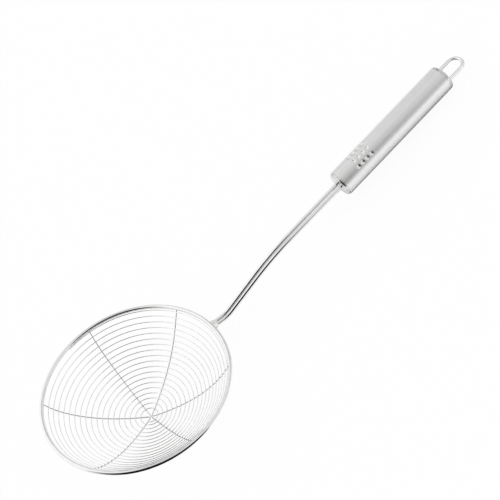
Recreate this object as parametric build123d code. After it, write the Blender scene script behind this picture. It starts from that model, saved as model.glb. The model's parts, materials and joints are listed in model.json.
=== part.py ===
from build123d import *
import os
from math import atan2, cos, hypot, pi, radians, sin, sqrt, tan

# Spider skimmer: a wire basket on a round handle, all stainless steel.
# Lengths are millimetres and angles degrees.
# The piece is drawn with the basket's rim in the plane Z = 0, its axis on Z and the handle towards +X.
# Then it is laid down as it lies on a table, on the basket's belly and the handle's far end.

os.makedirs("parts", exist_ok=True)

# Rim: one closed ring of polished wire
rim_diameter = 140.0          # outside the wire
rim_wire = 3.0

# Basket: its shape is the surface on which the middle of the wound wire lies
basket_depth = 38.4           # from the rim's plane to the lowest point, on the axis
basket_inset = 0.95           # from the middle of the rim's wire inwards to where the surface meets its plane
cone_share = 0.26             # part of the depth that rises like a cone
steep_share = 0.30            # part that rises with the fourth power of the radius, near the rim
basket_wire = 0.7
inner_radius = 5.2            # first loop of the wound wire, measured along the surface
inner_loop_turns_share = 0.3  # part of the first turn that stays at that radius
basket_turns = 18.66
basket_start_angle = 227.7    # from the handle, seen from above, anticlockwise
outer_spread_share = 0.047    # how much more the outer turns are spread than the inner ones
basket_shift_x = -1.13        # how far the basket hangs off the rim's middle, away from the handle
basket_shift_y = -0.6
basket_swell = 0.38           # how much wider the turns lie than on an even surface
shift_fade_power = 12         # shift and swell fade with this power of the radius, to nothing at the rim

# Cross wires under the basket, each bent once on the axis: the two directions of each
cross_wire = 0.8
centre_gap = 0.1              # between the cross wires where they pass the axis
cross_directions = {
    "cross_wire_middle": (88.6, 276.2),
    "cross_wire_tip_side": (146.8, 208.6),
    "cross_wire_handle_side": (-31.7, 29.3),
}

# Stem: two wires side by side, from the rim's outer side into the handle
stem_wire = 3.0
stem_first_run = 13.7         # from the middle of the rim's wire to the upward bend
stem_climb = 25.0             # angle of the middle run
stem_bend_radius = 20.0
stem_second_run = 52.2        # between the corners of the two bends
stem_ease_radius = 200.0
stem_last_run = 72.9          # from the second corner to the front edge of the handle's tube
stem_spread = 4.4             # between the two wires' middles where they enter the handle
stem_grip = 14.0              # length of each wire inside the handle

# Weld that joins the stem to the rim
weld_gap = 0.05               # between pieces that are welded or pressed together
weld_width = 9.4              # along the rim
weld_length = 6.0             # from the middle of the rim's wire along the stem
weld_thickness = 3.9

# Handle: a round tube with a cap in each end
handle_rise = 14.2            # angle between the handle and the rim's plane
handle_diameter = 20.7
handle_length = 107.7         # from the tube's front edge to the far face of the rear cap
tube_wall = 0.8
tube_edge_round = 0.3
cap_fit = 0.05                # between a cap's plug and the tube, all round
cap_plug_length = 5.0
cap_plug_wall = 1.2
front_cap_height = 2.2
front_cap_step = 0.35         # how much smaller in radius than the tube
front_cap_round = 1.7
rear_cap_height = 2.5
rear_cap_step = 0.1           # how much smaller in radius than the tube
rear_cap_round = 1.5

# Dimples for the thumb, near the handle's front end
dimple_rows = 4
dimple_columns = 4
dimple_row_angle = 29.0       # between rows, round the tube
dimple_pitch = 4.4            # between columns, along the tube
dimple_first = 15.3           # from the tube's front edge to the first column
dimple_length = 2.6
dimple_depth = 0.35

# Hanging loop: one bent wire, both ends held in the rear cap
loop_wire = 2.5
loop_width = 12.6             # between the middles of the two legs
loop_reach = 18.1             # from the rear cap's far face to the middle of the loop's end
loop_grip = 10.0              # length of each leg inside the handle

# Measuring and drawing
profile_count = 400           # parts in which the basket's surface is measured
arm_part_count = 12           # bent parts of each arm of a cross wire
turn_part_count = 48          # places in a turn where the gap to the next turn is measured
halving_count = 60            # rounds of every search by halving
steepest_lie = 45.0           # end of the range in which the lying angle is looked for
straight_share = 1e-9         # how little a wire's direction may differ from a line before it is drawn as arcs

# Places that follow from the sizes above
rim_radius = (rim_diameter - rim_wire) / 2
mouth_radius = rim_radius - basket_inset
cross_offset = (basket_wire + cross_wire) / 2 + weld_gap
handle_radius = handle_diameter / 2
tube_bore_radius = handle_radius - tube_wall
tube_length = handle_length - rear_cap_height


# Surface of the basket

def surface_height(radius):
    """Height of the basket's surface at a radius, below the rim's plane."""
    share = radius / mouth_radius
    round_share = 1 - cone_share - steep_share
    rise = cone_share * share + round_share * share**2 + steep_share * share**4
    return -basket_depth * (1 - rise)


def surface_slope(radius):
    """Rise of the surface for each unit of radius."""
    share = radius / mouth_radius
    round_share = 1 - cone_share - steep_share
    return basket_depth / mouth_radius * (cone_share + 2 * round_share * share + 4 * steep_share * share**3)


def measure_profile():
    """Length along the surface from the axis, at evenly spaced radii."""
    lengths = [0.0]
    step = mouth_radius / profile_count
    for index in range(profile_count):
        middle = (index + 1 / 2) * step
        lengths.append(lengths[-1] + step * sqrt(1 + surface_slope(middle) ** 2))
    return lengths


profile_lengths = measure_profile()


def radius_at(length):
    """Radius of the point that lies this far from the axis along the surface."""
    low = 0
    high = profile_count
    while high - low > 1:
        middle = (low + high) // 2
        if profile_lengths[middle] > length:
            high = middle
        else:
            low = middle
    part = (length - profile_lengths[low]) / (profile_lengths[high] - profile_lengths[low])
    return (low + part) * mouth_radius / profile_count


def length_at(radius):
    """Distance along the surface from the axis to a radius."""
    place = radius / mouth_radius * profile_count
    index = min(int(place), profile_count - 1)
    return profile_lengths[index] + (place - index) * (profile_lengths[index + 1] - profile_lengths[index])


def halve(lowest, highest, is_below):
    """The value where a test changes from true to false, found by halving the range."""
    for _ in range(halving_count):
        middle = (lowest + highest) / 2
        if is_below(middle):
            lowest = middle
        else:
            highest = middle
    return lowest


# Bent wire

def arc_pair(start, start_way, end, end_way):
    """Two arcs that leave the start along one direction and reach the end along another."""
    chord = end - start
    lean = chord.dot(start_way + end_way)
    turn = 2 * (1 - start_way.dot(end_way))
    arm = chord.dot(chord) / (lean + sqrt(lean**2 + turn * chord.dot(chord)))
    joint = (start + start_way * arm + end - end_way * arm) * (1 / 2)
    joint_way = (end - end_way * arm - start - start_way * arm).normalized()
    return [
        Edge.make_tangent_arc(start, start_way, joint),
        Edge.make_tangent_arc(joint, joint_way, end),
    ]


def bent_wire(stations, diameter):
    """A round wire through stations, each a point and the direction of the wire there."""
    edges = []
    for (start, start_way), (end, end_way) in zip(stations, stations[1:]):
        chord_way = (end - start).normalized()
        straight = min(chord_way.dot(start_way), chord_way.dot(end_way))
        if straight > 1 - straight_share:
            edges.append(Edge.make_line(start, end))
        else:
            edges += arc_pair(start, start_way, end, end_way)
    path = Wire(edges)
    first_point, first_way = stations[0]
    section = Plane(origin=first_point, z_dir=first_way) * Circle(diameter / 2)
    return sweep(section, path=path)


# Rim and basket

def make_rim():
    """The closed ring that carries the basket."""
    return Torus(rim_radius, rim_wire / 2)


def rim_room():
    """The space that a wire welded to the rim keeps clear of."""
    return Torus(rim_radius, rim_wire / 2 + weld_gap)


def basket_end_radius():
    """Radius where the wound wire's outer end lies against the rim."""
    touch = (rim_wire + basket_wire) / 2 + weld_gap

    def clear_of_rim(radius):
        return hypot(rim_radius - radius, surface_height(radius)) > touch

    return halve(rim_radius / 2, mouth_radius, clear_of_rim)


basket_end = basket_end_radius()


def hang(radius):
    """Share of the basket's shift and swell at a radius, and how it changes with the radius."""
    if radius >= basket_end:
        return 0.0, 0.0
    share = radius / basket_end
    return 1 - share**shift_fade_power, -shift_fade_power / basket_end * share ** (shift_fade_power - 1)


def hung_place(radius, reach, angle, height):
    """The point at a reach from the axis, moved as the basket is moved at that radius."""
    share = hang(radius)[0]
    reach += basket_swell * share
    return Vector(reach * cos(angle) + basket_shift_x * share, reach * sin(angle) + basket_shift_y * share, height)


def hung_way(radius, outward, angle):
    """What the shift and the swell add to a direction that leads outward."""
    change = hang(radius)[1] * outward
    return Vector(basket_swell * cos(angle) + basket_shift_x, basket_swell * sin(angle) + basket_shift_y, 0) * change


def basket_station(turns):
    """Place and direction of the wound wire after a number of turns."""
    start_length = inner_radius
    end_length = length_at(basket_end)
    winding = basket_turns - inner_loop_turns_share
    share = max(turns - inner_loop_turns_share, 0) / winding
    length = start_length + (end_length - start_length) * (
        (1 - outer_spread_share) * share + outer_spread_share * share**2
    )
    growth = 0.0
    if turns > inner_loop_turns_share:
        growth = (end_length - start_length) * (1 - outer_spread_share + 2 * outer_spread_share * share)
        growth = growth / winding / (2 * pi)
    radius = radius_at(length)
    slope = surface_slope(radius)
    outward = growth / sqrt(1 + slope**2)
    angle = radians(basket_start_angle) + 2 * pi * turns
    width = radius + basket_swell * hang(radius)[0]
    way = Vector(
        outward * cos(angle) - width * sin(angle),
        outward * sin(angle) + width * cos(angle),
        outward * slope,
    )
    way += hung_way(radius, outward, angle)
    return hung_place(radius, radius, angle, surface_height(radius)), way.normalized()


def basket_stations():
    """Stations of the wound wire, a quarter turn apart."""
    quarters = int(basket_turns * 4)
    turns = [quarter / 4 for quarter in range(quarters + 1)]
    if basket_turns * 4 - quarters > 1 / 2:
        turns.append(basket_turns)
    else:
        turns[-1] = basket_turns
    return [basket_station(turn) for turn in turns]


def make_basket():
    """The wound wire of the basket, one unbroken tube from the first loop to the rim."""
    return bent_wire(basket_stations(), basket_wire)


def basket_self_gap():
    """Least gap between one turn of the wound wire and the next."""
    last = int((basket_turns - 1) * turn_part_count)
    part_count = int(basket_turns * turn_part_count)
    points = [basket_station(index / turn_part_count)[0] for index in range(part_count + 1)]
    least = rim_diameter
    for index in range(last):
        middle = index + turn_part_count
        around = points[middle - turn_part_count // 4:middle + turn_part_count // 4 + 1]
        least = min(least, min((point - points[index]).length for point in around))
    return least - basket_wire


def cross_point(radius, direction, offset):
    """Place and outward direction of a wire under the basket's surface."""
    slope = atan2(surface_slope(radius), 1)
    reach = radius + offset * sin(slope)
    height = surface_height(radius) - offset * cos(slope)
    angle = radians(direction)
    way = Vector(cos(slope) * cos(angle), cos(slope) * sin(angle), sin(slope)) + hung_way(radius, cos(slope), angle)
    return hung_place(radius, reach, angle, height), way.normalized()


def cross_wire_bend(first, second):
    """Radius at which a cross wire's arms start, so that it clears the others on the axis."""
    half = radians(abs(second - first)) / 2
    if half > pi / 4:
        return 2 * (cross_wire + centre_gap)
    return (cross_wire + centre_gap) * cos(half) / (1 - sin(half))


def make_cross_wire(directions):
    """One wire from rim to rim under the basket, bent on the axis and shaped to the rim at its ends."""
    first, second = directions
    start_radius = cross_wire_bend(first, second)
    radii = [
        start_radius + (mouth_radius - start_radius) * index / arm_part_count
        for index in range(arm_part_count + 1)
    ]
    arm_in = [cross_point(radius, first, cross_offset) for radius in reversed(radii)]
    arm_in = [(point, way * -1) for point, way in arm_in]
    arm_out = [cross_point(radius, second, cross_offset) for radius in radii]
    return bent_wire(arm_in + arm_out, cross_wire) - rim_room()


# Stem

def way_at(angle):
    """Direction in the upright plane of the handle, at an angle above the rim's plane."""
    return Vector(cos(radians(angle)), 0, sin(radians(angle)))


stem_start = Vector(rim_radius, 0, 0)
first_corner = stem_start + way_at(0) * stem_first_run
second_corner = first_corner + way_at(stem_climb) * stem_second_run
handle_front = second_corner + way_at(handle_rise) * stem_last_run
handle_way = way_at(handle_rise)
handle_back = handle_front + handle_way * handle_length


def stem_line():
    """Points and directions along the middle of the stem, seen from the side."""
    first_arm = stem_bend_radius * tan(radians(stem_climb) / 2)
    second_arm = stem_ease_radius * tan(radians(stem_climb - handle_rise) / 2)
    return [
        (stem_start, way_at(0)),
        (first_corner - way_at(0) * first_arm, way_at(0)),
        (first_corner + way_at(stem_climb) * first_arm, way_at(stem_climb)),
        (second_corner - way_at(stem_climb) * second_arm, way_at(stem_climb)),
        (second_corner + way_at(handle_rise) * second_arm, way_at(handle_rise)),
        (handle_front, way_at(handle_rise)),
        (handle_front + handle_way * stem_grip, way_at(handle_rise)),
    ]


def stem_wire_stations(side):
    """Stations of one stem wire, side by side with the other at the rim and parting towards the handle."""
    line = stem_line()
    first_arm = stem_bend_radius * tan(radians(stem_climb) / 2)
    second_arm = stem_ease_radius * tan(radians(stem_climb - handle_rise) / 2)
    runs = [
        0.0,
        stem_first_run - first_arm,
        stem_bend_radius * radians(stem_climb),
        stem_second_run - first_arm - second_arm,
        stem_ease_radius * radians(stem_climb - handle_rise),
        stem_last_run - second_arm,
        stem_grip,
    ]
    near = (stem_wire + weld_gap) / 2
    parting = (stem_spread / 2 - near) / sum(runs[:-1])
    stations = []
    travelled = 0.0
    for (point, way), run in zip(line, runs):
        travelled += run
        across = Vector(0, side, 0)
        stations.append((point + across * (near + parting * travelled), (way + across * parting).normalized()))
    return stations


def make_stem_wire(side):
    """One stem wire, shaped to the rim at its front end."""
    return bent_wire(stem_wire_stations(side), stem_wire) - rim_room()


def cut_for_stem(piece):
    """The piece with a round hole for each of the stem's wires."""
    for side in (-1, 1):
        piece -= bent_wire(stem_wire_stations(side), stem_wire + 2 * weld_gap)
    return piece


def make_stem_weld():
    """The bead of weld metal that wraps the stem's ends against the rim's outer side."""
    front = rim_radius + rim_wire / 4
    half_length = rim_radius + weld_length - front
    bead = scale(Rot(0, 0, 180) * Sphere(1), by=(half_length, weld_width / 2, weld_thickness / 2))
    bead &= Box(half_length, weld_width, weld_thickness, align=(Align.MIN, Align.CENTER, Align.CENTER))
    return cut_for_stem(Pos(front, 0, 0) * bead - rim_room())


# Handle, drawn along its own axis from the tube's front edge, with Y up

handle_frame = Plane(origin=handle_front, x_dir=(0, 1, 0), z_dir=handle_way)
from_base = (Align.CENTER, Align.CENTER, Align.MIN)
to_base = (Align.CENTER, Align.CENTER, Align.MAX)


def outer_edges(piece, height):
    """The circles of a round piece at one height."""
    return piece.edges().filter_by(GeomType.CIRCLE).filter_by_position(Axis.Z, height, height)


def make_dimples():
    """The round tools that press the dimples, in rows round the top of the tube."""
    ball = (dimple_length**2 / 4 + dimple_depth**2) / (2 * dimple_depth)
    tools = Part()
    for row in range(dimple_rows):
        angle = radians((row - (dimple_rows - 1) / 2) * dimple_row_angle)
        for column in range(dimple_columns):
            reach = handle_radius - dimple_depth + ball
            place = (reach * sin(angle), reach * cos(angle), dimple_first + column * dimple_pitch)
            tools += Pos(*place) * Sphere(ball)
    return tools


def make_handle_tube():
    """The grip: a round tube with thumb dimples near its front end."""
    outside = Cylinder(handle_radius, tube_length, align=from_base)
    rims = outer_edges(outside, 0) + outer_edges(outside, tube_length)
    outside = fillet(rims, radius=tube_edge_round)
    bore = Cylinder(tube_bore_radius, tube_length, align=from_base)
    return handle_frame.location * (outside - bore - make_dimples())


def cap_plug(align):
    """The thin collar of a cap that sits in the tube."""
    collar = Cylinder(tube_bore_radius - cap_fit, cap_plug_length, align=align)
    return collar - Cylinder(tube_bore_radius - cap_fit - cap_plug_wall, cap_plug_length, align=align)


def make_front_cap():
    """The rounded cap that the stem's two wires enter."""
    disc = Cylinder(handle_radius - front_cap_step, front_cap_height, align=to_base)
    disc = fillet(outer_edges(disc, -front_cap_height), radius=front_cap_round)
    cap = handle_frame.location * (disc + cap_plug(from_base))
    return cut_for_stem(cap)


def loop_stations():
    """Stations of the hanging loop, from one end inside the handle to the other."""
    half = loop_width / 2
    inside = handle_length - loop_grip
    bend = handle_length + loop_reach - half
    top = handle_length + loop_reach
    return [
        (Vector(-half, 0, inside), Vector(0, 0, 1)),
        (Vector(-half, 0, bend), Vector(0, 0, 1)),
        (Vector(0, 0, top), Vector(1, 0, 0)),
        (Vector(half, 0, bend), Vector(0, 0, -1)),
        (Vector(half, 0, inside), Vector(0, 0, -1)),
    ]


def make_hanging_loop():
    """The bent wire to hang the skimmer by, flat with the stem's two wires."""
    return handle_frame.location * bent_wire(loop_stations(), loop_wire)


def make_rear_cap():
    """The cap in the tube's far end, which holds the hanging loop."""
    disc = Cylinder(handle_radius - rear_cap_step, rear_cap_height, align=from_base)
    disc = fillet(outer_edges(disc, rear_cap_height), radius=rear_cap_round)
    cap = Pos(0, 0, tube_length) * (disc + cap_plug(to_base))
    cap -= bent_wire(loop_stations(), loop_wire + 2 * weld_gap)
    return handle_frame.location * cap


# Lying on a table

def height_lying(point, angle):
    """Height of a point when the piece is tipped towards the handle by an angle."""
    return point.Z * cos(radians(angle)) - point.X * sin(radians(angle))


def belly_height(angle):
    """Lowest height of the cross wires at an angle."""
    lowest = 0.0
    for directions in cross_directions.values():
        for direction in directions:
            for index in range(profile_count):
                point = cross_point(mouth_radius * index / profile_count, direction, cross_offset)[0]
                lowest = min(lowest, height_lying(point, angle) - cross_wire / 2)
    return lowest


def edge_height(reach, radius, edge_round, angle):
    """Lowest height of a rounded edge of the handle, at a distance from the tube's front edge."""
    centre = handle_front + handle_way * (reach - edge_round)
    inner = radius - edge_round
    return height_lying(centre, angle) - inner * cos(radians(angle - handle_rise)) - edge_round


def heel_height(angle):
    """Lowest height of the handle's far end at an angle."""
    tube = edge_height(tube_length, handle_radius, tube_edge_round, angle)
    cap = edge_height(handle_length, handle_radius - rear_cap_step, rear_cap_round, angle)
    return min(tube, cap)


def find_lie_angle():
    """Angle at which the basket's belly and the handle's far end touch the table together."""
    def heel_clear(angle):
        return heel_height(angle) > belly_height(angle)

    return halve(0.0, steepest_lie, heel_clear)


lie_angle = find_lie_angle()
tip_end = -rim_radius * cos(radians(lie_angle)) - rim_wire / 2
loop_end_point = handle_back + handle_way * loop_reach
loop_end = loop_end_point.X * cos(radians(lie_angle)) + loop_end_point.Z * sin(radians(lie_angle)) + loop_wire / 2
laid = Pos(-(tip_end + loop_end) / 2, 0, -belly_height(lie_angle)) * Rot(0, lie_angle, 0)

pieces = {
    "rim_ring": make_rim(),
    "basket_spiral": make_basket(),
    "stem_wire_left": make_stem_wire(1),
    "stem_wire_right": make_stem_wire(-1),
    "stem_weld": make_stem_weld(),
    "handle_tube": make_handle_tube(),
    "front_cap": make_front_cap(),
    "rear_cap": make_rear_cap(),
    "hanging_loop": make_hanging_loop(),
}
for name, directions in cross_directions.items():
    pieces[name] = make_cross_wire(directions)

for name, piece in pieces.items():
    export_step(laid * piece, f"parts/{name}.step")

print("basket wire, least gap to itself", round(basket_self_gap(), 2), "mm")
print("tipped towards the handle by", round(lie_angle, 2), "degrees")
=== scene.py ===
# %% [markdown]
# # Spider skimmer
# A wire basket on a long handle, all of it stainless steel. It lies on a table, on the basket's belly and
# the far end of the handle. The solids already have every true size, so this lesson is about light and
# finish: how polished wire, drawn wire and a ground tube are told apart when all three are one metal.

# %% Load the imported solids
import bmesh
import bpy
import json
import math
from mathutils import Matrix, Vector
from mathutils.bvhtree import BVHTree


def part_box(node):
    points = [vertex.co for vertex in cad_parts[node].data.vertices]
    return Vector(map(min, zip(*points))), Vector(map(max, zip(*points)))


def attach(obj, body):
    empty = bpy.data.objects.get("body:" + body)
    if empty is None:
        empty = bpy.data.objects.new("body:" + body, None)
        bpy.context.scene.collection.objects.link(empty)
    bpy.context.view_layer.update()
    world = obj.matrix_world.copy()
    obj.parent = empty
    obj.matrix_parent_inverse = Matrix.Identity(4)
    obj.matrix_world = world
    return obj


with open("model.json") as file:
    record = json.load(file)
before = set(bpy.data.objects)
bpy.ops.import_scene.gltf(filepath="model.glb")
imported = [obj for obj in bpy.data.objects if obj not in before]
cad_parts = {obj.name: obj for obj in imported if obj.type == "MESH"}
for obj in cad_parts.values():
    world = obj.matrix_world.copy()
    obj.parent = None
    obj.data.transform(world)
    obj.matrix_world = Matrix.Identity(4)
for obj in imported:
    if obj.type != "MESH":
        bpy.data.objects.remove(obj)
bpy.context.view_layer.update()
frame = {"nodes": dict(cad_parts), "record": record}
nodes = frame["nodes"]
scene = bpy.context.scene

# %% [markdown]
# ## Camera
# The skimmer is seen from above and from its side, with the camera rolled so that the handle rises to the
# upper right. Such a roll could be typed as three angles, but it is set most plainly by naming the three
# directions of the camera itself: its right, its up and its back, which points from the object to the lens.

# %% Camera
camera_place = Vector((-0.03193, -0.4709, 0.61403))
camera_right = Vector((0.66472, -0.58962, -0.45881))
camera_up = Vector((0.74642, 0.49809, 0.44132))
camera_back = camera_right.cross(camera_up)
lens_length, sensor_width = 76.81, 36

camera_data = bpy.data.cameras.new("camera")
camera_data.sensor_width = sensor_width
camera_data.lens = lens_length
camera_data.clip_start = 0.01
camera_data.clip_end = 50
camera = bpy.data.objects.new("camera", camera_data)
camera.rotation_mode = "QUATERNION"
camera.rotation_quaternion = Matrix((camera_right, camera_up, camera_back)).transposed().to_quaternion()
camera.location = camera_place
scene.collection.objects.link(camera)
scene.camera = camera
print("camera looks down by", round(math.degrees(math.asin(camera_back.z)), 1), "degrees")

# %% Colour management
scene.view_settings.view_transform = "Standard"


# %% [markdown]
# ## World
# Metal shows what is around it, so the world is half of its finish. A bright white world would leave the
# wires invisible on a white table, as they would only be white on white. Polished things are lit in a pale
# tent instead: its walls are a little greyer than the table, and greyer still low down, so each wire gets a
# grey outline. The sky here is that tent. Light Path tells what asks: the camera, reflections and glass get
# the tent as it is, and only the light that falls on matt surfaces is a little stronger.

# %% World
def new_material(name):
    """An empty material, its node tree and its output node."""
    material = bpy.data.materials.new(name)
    material.use_nodes = True
    material.node_tree.nodes.clear()
    output = material.node_tree.nodes.new("ShaderNodeOutputMaterial")
    return material, material.node_tree, output


def maths(tree, operation, *values):
    """A maths node fed with sockets or numbers; gives its result."""
    node = tree.nodes.new("ShaderNodeMath")
    node.operation = operation
    for socket, value in zip(node.inputs, values):
        if isinstance(value, (int, float)):
            socket.default_value = value
        else:
            tree.links.new(value, socket)
    return node.outputs[0]


def blend(tree, value, low, high, from_low, from_high, smooth=True):
    """A value carried from one range to another, held at the ends."""
    node = tree.nodes.new("ShaderNodeMapRange")
    node.interpolation_type = "SMOOTHSTEP" if smooth else "LINEAR"
    for name, number in (("From Min", from_low), ("From Max", from_high), ("To Min", low), ("To Max", high)):
        node.inputs[name].default_value = number
    tree.links.new(value, node.inputs["Value"])
    return node.outputs[0]


tent_grey = 0.96
skirt_grey = 0.78
skirt_top = 0.62
surface_light = 1.05

world = bpy.data.worlds.new("tent")
scene.world = world
world.use_nodes = True
tree = world.node_tree
tree.nodes.clear()
path = tree.nodes.new("ShaderNodeLightPath").outputs
seen = maths(tree, "MAXIMUM", path["Is Camera Ray"], path["Is Glossy Ray"])
seen = maths(tree, "MAXIMUM", seen, path["Is Transmission Ray"])
way = tree.nodes.new("ShaderNodeTexCoord")
parts = tree.nodes.new("ShaderNodeSeparateXYZ")
tree.links.new(way.outputs["Generated"], parts.inputs[0])
background = tree.nodes.new("ShaderNodeBackground")
tent = blend(tree, parts.outputs["Z"], skirt_grey, tent_grey, 0, skirt_top)
tree.links.new(tent, background.inputs["Color"])
tree.links.new(blend(tree, seen, surface_light, 1, 0, 1, False), background.inputs["Strength"])
tree.links.new(background.outputs[0], tree.nodes.new("ShaderNodeOutputWorld").inputs["Surface"])
world.cycles.sampling_method = "NONE"
print("tent walls:", tent_grey, "low down:", skirt_grey)

# %% [markdown]
# ## Table
# The table is one flat white sheet. Most of what the camera sees of it is plain white, mixed in by Light
# Path, and the rest is an ordinary matt surface that keeps the skimmer's soft shadow. Reflections get all of
# the matt surface, since the shadow under the handle is what draws the dark line along its lower edge. For
# them alone a pool of light is painted on it a few centimetres in front of the handle, brighter than a real
# table, where the pale band comes from, and a painted shadow deepens it right under the handle.

# %% Table
def mixed(tree, share, first, second, output):
    """Two shaders mixed by a share and sent to the output."""
    mix = tree.nodes.new("ShaderNodeMixShader")
    tree.links.new(share, mix.inputs[0])
    tree.links.new(first.outputs[0], mix.inputs[1])
    tree.links.new(second.outputs[0], mix.inputs[2])
    tree.links.new(mix.outputs[0], output.inputs["Surface"])


def object_from(name, mesh):
    """A new object from a mesh in the making, which ends with it."""
    data = bpy.data.meshes.new(name)
    mesh.to_mesh(data)
    mesh.free()
    item = bpy.data.objects.new(name, data)
    scene.collection.objects.link(item)
    return item


def square(name, half_side):
    """A flat square in the table's plane."""
    mesh = bmesh.new()
    bmesh.ops.create_grid(mesh, x_segments=1, y_segments=1, size=half_side)
    return object_from(name, mesh)


table_half = 3
table_white = 0.95
camera_share = 0.92
# Seen only in reflections: the first of these is a painted shadow grey right under the handle, the last a
# painted pool of light in front of it.
painted_shadow_grey, mirror_near, painted_light_front = 0.55, 1.16, 1.36
painted_shadow_edge, near_edge, front_edge = 0.0105, 0.018, 0.05
painted_shadow_start = 0.066

floor = square("table", table_half)
floor_finish, tree, output = new_material("table")
path = tree.nodes.new("ShaderNodeLightPath").outputs
plain = maths(tree, "MAXIMUM", path["Is Camera Ray"], path["Is Transmission Ray"])
plain = maths(tree, "MULTIPLY", plain, camera_share)
diffuse = tree.nodes.new("ShaderNodeBsdfDiffuse")
place = tree.nodes.new("ShaderNodeSeparateXYZ")
tree.links.new(tree.nodes.new("ShaderNodeTexCoord").outputs["Object"], place.inputs[0])
front = maths(tree, "MULTIPLY", place.outputs["Y"], -1)
aside = maths(tree, "ABSOLUTE", place.outputs["Y"])
# Painted pool of light in front of the handle and painted shadow right under it, both seen only in
# reflections.
bright = blend(tree, front, mirror_near, painted_light_front, near_edge, front_edge)
painted_shadow_mask = blend(tree, aside, 1, 0, painted_shadow_edge, near_edge)
painted_shadow_mask = maths(tree, "MULTIPLY", painted_shadow_mask, maths(tree, "GREATER_THAN", place.outputs["X"], painted_shadow_start))
painted_mirror_table = maths(tree, "SUBTRACT", bright, maths(tree, "MULTIPLY", painted_shadow_mask, mirror_near - painted_shadow_grey))
# Only glossy rays get this painted light and painted shadow.
white = maths(tree, "MULTIPLY", path["Is Glossy Ray"], maths(tree, "SUBTRACT", painted_mirror_table, table_white))
tree.links.new(maths(tree, "ADD", white, table_white), diffuse.inputs["Color"])
glow = tree.nodes.new("ShaderNodeEmission")
mixed(tree, plain, diffuse, glow, output)
floor.data.materials.append(floor_finish)
floor_finish.cycles.emission_sampling = "NONE"
print("table white:", table_white, "in reflections:", painted_shadow_grey, "to", painted_light_front)


# %% [markdown]
# ## Boards
# The dark lines along the wires are the reflection of something dark close by. Boards are the usual way to
# get them: a black one near the camera's side, grey ones to the right, in front and overhead, and a white
# one on the left where the wire has to shine. Two bright low things, a long strip and a small card, put the
# pale band along the handle. Each is a flat oval with a soft edge, which only reflections can see. Its
# numbers are its width and height in metres, how much of it fades out, and its shade, where 1 is white.

# %% Boards
def board(name, place, width, height, softness, shade):
    """An oval board that faces the middle of the table and is seen only in reflections."""
    item = square(name, 1)
    item.location = place
    item.rotation_mode = "QUATERNION"
    item.rotation_quaternion = Vector(place).to_track_quat("Z", "Y")
    item.scale = (width / 2, height / 2, 1)
    item.visible_camera = False
    item.visible_diffuse = False
    item.visible_shadow = False
    item.visible_transmission = False
    finish, tree, output = new_material(name)
    place_on_board = tree.nodes.new("ShaderNodeTexCoord")
    fade = tree.nodes.new("ShaderNodeTexGradient")
    fade.gradient_type = "SPHERICAL"
    tree.links.new(place_on_board.outputs["Object"], fade.inputs["Vector"])
    clear = tree.nodes.new("ShaderNodeBsdfTransparent")
    shine = tree.nodes.new("ShaderNodeEmission")
    shine.inputs["Color"].default_value = (shade, shade, shade, 1)
    mixed(tree, blend(tree, fade.outputs["Fac"], 0, 1, 0, softness), clear, shine, output)
    item.data.materials.append(finish)
    finish.cycles.emission_sampling = "NONE"
    return item


def toward(turn, rise, distance):
    """The place that lies this way from the middle of the table: turn and rise in degrees."""
    turn, rise = math.radians(turn), math.radians(rise)
    level = distance * math.cos(rise)
    return (level * math.cos(turn), level * math.sin(turn), distance * math.sin(rise))


boards = [
    board("dark_board", toward(-123, 22, 0.26), 0.67, 1.09, 0.54, 0.01),
    board("white_board_left", toward(141, 48, 1.6), 3.9, 3.55, 0.2, 1.3),
    board("strip_light_front", toward(-55, 2.5, 1.6), 1.94, 0.2, 0.6, 1.9),
    board("grey_board_right", toward(49, 41, 1.6), 0.4, 0.59, 0.43, 0.2),
    board("grey_board_top", toward(65, 72, 1.2), 0.33, 0.97, 0.84, 0.52),
    board("grey_board_front", toward(-66, 30, 1.0), 0.5, 0.6, 1.0, 0.15),
    board("white_card_front", toward(-64, -1, 0.29), 0.4, 0.08, 0.8, 1.7),
]
print("boards and lights:", len(boards))


# %% [markdown]
# ## Helpers for the finishes
# Every finish is worked out from places on the piece itself. Two parts of the skimmer have a line of their
# own: the ring has its axis, and the handle has its length. The ring's middle and tilt follow from the box
# round the rim, and the handle's from its mount in the record. A Mapping node turns the object's places so
# that they are measured from such a line, in metres, and a stretched noise then makes lines that run the
# right way.

# %% Helpers for the finishes
rim_wire = 0.003
rim_low, rim_high = (Vector(corner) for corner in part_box("rim_ring"))
rim_size = rim_high - rim_low
ring_middle = tuple((rim_low + rim_high) / 2)
ring_turn = math.atan2(rim_size.z - rim_wire, rim_size.x - rim_wire)
grip = next(mount for mount in frame["record"]["mounts"] if mount["name"] == "handle_grip")
handle_middle = tuple(grip["pos_m"])
handle_turn = -math.asin(grip["axis"][2])
warmth = 0.995


def local_place(tree, middle, turn):
    """Places measured from a point, in directions turned about the table's cross line."""
    place = tree.nodes.new("ShaderNodeTexCoord")
    mapping = tree.nodes.new("ShaderNodeMapping")
    mapping.vector_type = "TEXTURE"
    mapping.inputs["Location"].default_value = middle
    mapping.inputs["Rotation"].default_value = (0, turn, 0)
    tree.links.new(place.outputs["Object"], mapping.inputs["Vector"])
    return mapping.outputs["Vector"]


def own_place(tree):
    """Places on the object itself."""
    return tree.nodes.new("ShaderNodeTexCoord").outputs["Object"]


def distance_of(tree, first, second):
    """The long side of a right triangle, as a distance from two steps."""
    squares = (maths(tree, "MULTIPLY", step, step) for step in (first, second))
    return maths(tree, "SQRT", maths(tree, "ADD", *squares))


def joined(tree, x, y, z):
    """Three numbers as one place."""
    node = tree.nodes.new("ShaderNodeCombineXYZ")
    for socket, value in zip(node.inputs, (x, y, z)):
        if isinstance(value, (int, float)):
            socket.default_value = value
        else:
            tree.links.new(value, socket)
    return node.outputs[0]


def split(tree, place):
    """The three numbers of a place."""
    node = tree.nodes.new("ShaderNodeSeparateXYZ")
    tree.links.new(place, node.inputs[0])
    return node.outputs[0], node.outputs[1], node.outputs[2]


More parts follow.
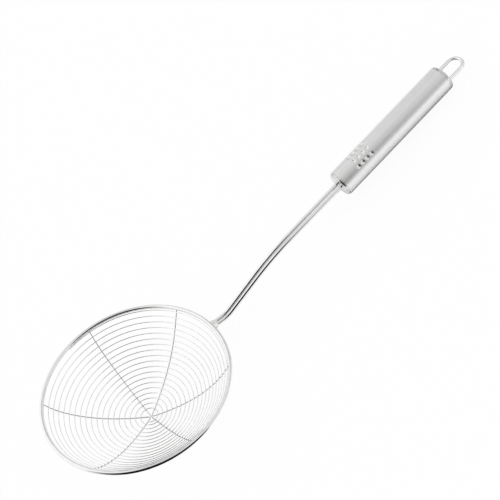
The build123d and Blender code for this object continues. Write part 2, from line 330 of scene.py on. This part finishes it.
def grain(tree, place, per_metre, detail=2.0):
    """Noise from 0 to 1 with its own number of grains per metre in each direction."""
    stretch = tree.nodes.new("ShaderNodeVectorMath")
    stretch.operation = "MULTIPLY"
    tree.links.new(place, stretch.inputs[0])
    stretch.inputs[1].default_value = per_metre
    noise = tree.nodes.new("ShaderNodeTexNoise")
    noise.inputs["Scale"].default_value = 1
    noise.inputs["Detail"].default_value = detail
    tree.links.new(stretch.outputs[0], noise.inputs["Vector"])
    return noise.outputs[0]


def metal(name, shade):
    """Plain steel: its material, tree and shader."""
    material, tree, output = new_material(name)
    shader = tree.nodes.new("ShaderNodeBsdfPrincipled")
    shader.inputs["Base Color"].default_value = (shade, shade, shade * warmth, 1)
    shader.inputs["Metallic"].default_value = 1
    tree.links.new(shader.outputs[0], output.inputs["Surface"])
    return material, tree, shader


def relief(tree, shader, height, depth):
    """Bumps of a depth in metres."""
    bump = tree.nodes.new("ShaderNodeBump")
    bump.inputs["Strength"].default_value = 1
    bump.inputs["Distance"].default_value = depth
    tree.links.new(height, bump.inputs["Height"])
    tree.links.new(bump.outputs[0], shader.inputs["Normal"])


def tone(tree, shader, value, dark, light):
    """Steel between two greys, by a value from 0 to 1."""
    grey = blend(tree, value, dark, light, 0.3, 0.7)
    steel = joined(tree, grey, grey, maths(tree, "MULTIPLY", grey, warmth))
    tree.links.new(steel, shader.inputs["Base Color"])


def wear(tree, shader, value, smooth, dull):
    """Roughness between two values, by a value from 0 to 1."""
    tree.links.new(blend(tree, value, smooth, dull, 0.35, 0.75), shader.inputs["Roughness"])


# %% [markdown]
# ## Polished wire
# Rim, stem and hanging loop are 3 mm and 2.5 mm wire. Such wire can be polished after bending, in a drum of
# small hard balls. The mirror is not perfect: a faint waviness and some duller patches are left. The two stem
# wires are not equally bright: the left one is duller, so each gets its own roughness, and the right one's
# grey is set a little darker than the left one's, as painted shade that deepens the dark line reflected along
# it.

# %% Polished wire
patches_per_metre, waves_per_metre, patch_contrast = 220, 900, 0.02


def polished_wire(name, shade, smooth, dull, depth):
    """Mirror wire with duller patches and a faint waviness."""
    material, tree, shader = metal(name, shade)
    place = own_place(tree)
    patches = grain(tree, place, (patches_per_metre,) * 3)
    tone(tree, shader, patches, shade - patch_contrast, shade + patch_contrast)
    wear(tree, shader, patches, smooth, dull)
    relief(tree, shader, grain(tree, place, (waves_per_metre,) * 3, 3), depth)
    return material


rim_finish = polished_wire("polished rim", 0.72, 0.03, 0.09, 4e-6)
stem_finish = {
    # The right wire's lower grey is painted shade that deepens its dark reflected line.
    "stem_wire_right": polished_wire("bright stem wire", 0.7, 0.01, 0.05, 3e-6),
    "stem_wire_left": polished_wire("duller stem wire", 0.74, 0.12, 0.22, 4e-6),
}
loop_finish = polished_wire("polished loop", 0.8, 0.03, 0.09, 4e-6)
print("polished wire finishes:", 2 + len(stem_finish))

# %% [markdown]
# ## Drawn wire
# The basket's thin wires are left as they come from the drawing die: bright, with fine lines that run along
# the wire. The wound wire circles the ring's axis, so its lines follow from the distance to that axis and
# the height. The cross wires run outwards, so theirs follow from the angle round the axis, and change only
# slowly with the distance and the height.

# %% Drawn wire
die_lines_per_metre, drawn_patches_per_metre, drawn_contrast = 9000, 160, 0.03
drawn_smooth, drawn_dull, line_depth = 0.14, 0.28, 2e-6


def drawn_wire(name, shade, along_ring):
    """Wire with fine lines along it, for the wound wire or for a cross wire."""
    material, tree, shader = metal(name, shade)
    place = local_place(tree, ring_middle, ring_turn)
    x, y, z = split(tree, place)
    radius = distance_of(tree, x, y)
    if along_ring:
        lines = grain(tree, joined(tree, radius, z, 0), (die_lines_per_metre, die_lines_per_metre, 0))
    else:
        across = maths(tree, "MULTIPLY", maths(tree, "ARCTAN2", y, x), radius)
        lines = grain(tree, joined(tree, across, radius, z), (die_lines_per_metre, 60, 600))
    patches = grain(tree, place, (drawn_patches_per_metre,) * 3)
    tone(tree, shader, patches, shade - drawn_contrast, shade + drawn_contrast)
    wear(tree, shader, lines, drawn_smooth, drawn_dull)
    relief(tree, shader, lines, line_depth)
    return material


spiral_finish = drawn_wire("drawn wire of the basket", 0.77, True)
cross_finish = drawn_wire("drawn cross wire", 0.6, False)
print("lines on drawn wire about", round(1000 / die_lines_per_metre, 2), "mm apart")

# %% [markdown]
# ## Weld
# The bead between stem and rim is weld metal: rounder than the wires, duller and a little lumpy. One noise
# gives its tone, its roughness and its lumps, so that they belong together.

# %% Weld
lumps_per_metre = 700

weld_finish, tree, shader = metal("weld bead", 0.8)
lumps = grain(tree, own_place(tree), (lumps_per_metre,) * 3, 3)
tone(tree, shader, lumps, 0.74, 0.86)
wear(tree, shader, lumps, 0.12, 0.34)
relief(tree, shader, lumps, 4e-5)
print("weld finish: lumps about", round(1000 / lumps_per_metre, 1), "mm")

# %% [markdown]
# ## Spot welds
# The cross wires are joined to the wound wire wherever the two touch. A short current melts the spot, and a
# small dull bead is squeezed out round it. Its dark grey is partly the weld's heat tint and partly painted
# shade for the crevice where the wires cross. The places need not be worked out: points are walked along the
# edges of a cross wire's mesh, and wherever one comes within touching distance of the wound wire, the closest
# of its neighbours is where the bead belongs. The solids leave a gap of about 0.05 mm there, and a bead spans
# it. The beads differ a little in size, by a sine of their number.

# %% Spot welds
touching, walk_step, beads_apart = 1.2e-4, 2e-4, 1.2e-3
bead_radius, bead_spread, bead_turn = 4.6e-4, 0.15, 2.4
dull_spots_per_metre = 2500


def touching_places(wire, surface):
    """The middle of every place where a wire comes within touching distance of a surface."""
    places = []
    for edge in wire.data.edges:
        start, end = (wire.data.vertices[i].co for i in edge.vertices)
        steps = max(1, round((end - start).length / walk_step))
        for step in range(steps + 1):
            point = start.lerp(end, step / steps)
            found, normal, face, gap = surface.find_nearest(point, touching)
            if found is None:
                continue
            near = [place for place in places if (place[1] - point).length < beads_apart]
            if not near:
                places.append([gap, (found + point) / 2])
            elif gap < near[0][0]:
                near[0][:] = [gap, (found + point) / 2]
    return [place[1] for place in places]


wound_data = nodes["basket_spiral"].data
wound_faces = [tuple(face.vertices) for face in wound_data.polygons]
wound_surface = BVHTree.FromPolygons([vertex.co for vertex in wound_data.vertices], wound_faces)
spots = []
for name in nodes:
    if name.startswith("cross_wire"):
        spots += touching_places(nodes[name], wound_surface)

beads_mesh = bmesh.new()
for number, spot in enumerate(spots):
    size = bead_radius * (1 + bead_spread * math.sin(number * bead_turn))
    place = Matrix.Translation(spot)
    bmesh.ops.create_uvsphere(beads_mesh, u_segments=8, v_segments=6, radius=size, matrix=place)
for face in beads_mesh.faces:
    face.smooth = True
spot_welds = object_from("spot_welds", beads_mesh)
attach(spot_welds, "root")

# The beads' dark grey is partly heat tint and partly painted shade for the crevice where the wires cross.
spot_finish, tree, shader = metal("spot weld", 0.3)
dull = grain(tree, own_place(tree), (dull_spots_per_metre,) * 3)
tone(tree, shader, dull, 0.24, 0.38)
wear(tree, shader, dull, 0.25, 0.5)
relief(tree, shader, dull, 3e-5)
spot_welds.data.materials.append(spot_finish)
print("spot welds:", len(spots))

# %% [markdown]
# ## Ground tube
# The handle turns against an abrasive belt when it is finished, so fine lines run round it and each fades
# after a centimetre or two. They blur reflections so much that only broad bands of light and dark are left,
# and blur them most along the handle, across the lines, which is what the anisotropy and its tangent give.
# The thumb dimples are pressed after the grinding by smooth tools, which leaves them brighter and sharper,
# and the wall round each one is drawn in a little. Their rows and columns are counted off along and round the
# tube, and the distance to the nearest dimple's middle gives both the polish and that soft shoulder.

# %% Ground tube
tube_radius = 0.01035
dimple_start, dimple_pitch = -0.0373, 0.0044
dimple_row_angle, dimples_each_way = math.radians(29), 4
polish_from, polish_to = 0.0012, 0.0019
shoulder_from, shoulder_to, shoulder_depth = 0.0009, 0.0021, 3e-4
fine_per_metre, broad_per_metre, fine_share, ground_depth = 5200, 700, 0.7, 3e-6
ground_smooth, ground_dull, dimple_polish = 0.38, 0.46, 0.1


def nearest(tree, value, first, pitch, count):
    """How far a value is from the nearest of some evenly spaced places, and whether it is among them."""
    steps = maths(tree, "DIVIDE", maths(tree, "SUBTRACT", value, first - pitch / 2), pitch)
    after, before = maths(tree, "GREATER_THAN", steps, 0), maths(tree, "LESS_THAN", steps, count)
    apart = maths(tree, "SUBTRACT", maths(tree, "FRACT", steps), 0.5)
    return maths(tree, "MULTIPLY", apart, pitch), maths(tree, "MULTIPLY", after, before)


tube_finish, tree, shader = metal("ground tube", 0.69)
place = local_place(tree, handle_middle, handle_turn)
x, y, z = split(tree, place)
fine = grain(tree, place, (fine_per_metre, 70, 70), 3)
broad = grain(tree, place, (broad_per_metre, 45, 45), 2)
along, in_columns = nearest(tree, x, dimple_start, dimple_pitch, dimples_each_way)
first_row = -dimple_row_angle * (dimples_each_way - 1) / 2
turned, in_rows = nearest(tree, maths(tree, "ARCTAN2", y, z), first_row, dimple_row_angle, dimples_each_way)
apart = distance_of(tree, along, maths(tree, "MULTIPLY", turned, tube_radius))
near_dimples = maths(tree, "MULTIPLY", in_columns, in_rows)
dimple = maths(tree, "MULTIPLY", blend(tree, apart, 1, 0, polish_from, polish_to), near_dimples)
shoulder = maths(tree, "MULTIPLY", blend(tree, apart, 1, 0, shoulder_from, shoulder_to), near_dimples)
fine_part = maths(tree, "MULTIPLY", fine, fine_share)
lines = maths(tree, "ADD", fine_part, maths(tree, "MULTIPLY", broad, 1 - fine_share))
tone(tree, shader, lines, 0.665, 0.715)
rough = blend(tree, lines, ground_smooth, ground_dull, 0.3, 0.7)
rough = maths(tree, "MULTIPLY", rough, blend(tree, dimple, 1, dimple_polish, 0, 1, False))
tree.links.new(rough, shader.inputs["Roughness"])
shader.inputs["Anisotropic"].default_value = 0.6
shader.inputs["Anisotropic Rotation"].default_value = 0.25
tangent = tree.nodes.new("ShaderNodeTangent")
tangent.direction_type = "RADIAL"
tangent.axis = "X"
tree.links.new(tangent.outputs[0], shader.inputs["Tangent"])
left_rough = maths(tree, "MULTIPLY", lines, maths(tree, "SUBTRACT", 1, dimple))
ground = maths(tree, "MULTIPLY", left_rough, ground_depth)
sunk = maths(tree, "MULTIPLY", shoulder, shoulder_depth)
relief(tree, shader, maths(tree, "SUBTRACT", ground, sunk), 1)
print("grinding lines about", round(1000 / fine_per_metre, 2), "mm apart")

# %% [markdown]
# ## Caps
# Both caps are polished, and darker than the tube. Faint rings from the polishing wheel run round the
# handle's long axis, so they follow from the distance to it alone.

# %% Caps
rings_per_metre = 4000

cap_finish, tree, shader = metal("polished cap", 0.56)
x, y, z = split(tree, local_place(tree, handle_middle, handle_turn))
rings = grain(tree, joined(tree, distance_of(tree, y, z), 0, 0), (rings_per_metre, 0, 0), 3)
tone(tree, shader, rings, 0.53, 0.59)
wear(tree, shader, rings, 0.05, 0.12)
relief(tree, shader, rings, line_depth)
print("rings about", round(1000 / rings_per_metre, 2), "mm apart")

# %% [markdown]
# ## Giving out the finishes
# Each solid keeps its shape and only gets its finish.

# %% Giving out the finishes
finish_of = {
    "rim_ring": rim_finish, "hanging_loop": loop_finish, "stem_weld": weld_finish, "handle_tube": tube_finish,
    "basket_spiral": spiral_finish, "front_cap": cap_finish, "rear_cap": cap_finish, **stem_finish,
}
for name in nodes:
    if name.startswith("cross_wire"):
        finish_of[name] = cross_finish
for name, finish in finish_of.items():
    nodes[name].data.materials.clear()
    nodes[name].data.materials.append(finish)
print("finished solids:", len(finish_of), "of", len(nodes))
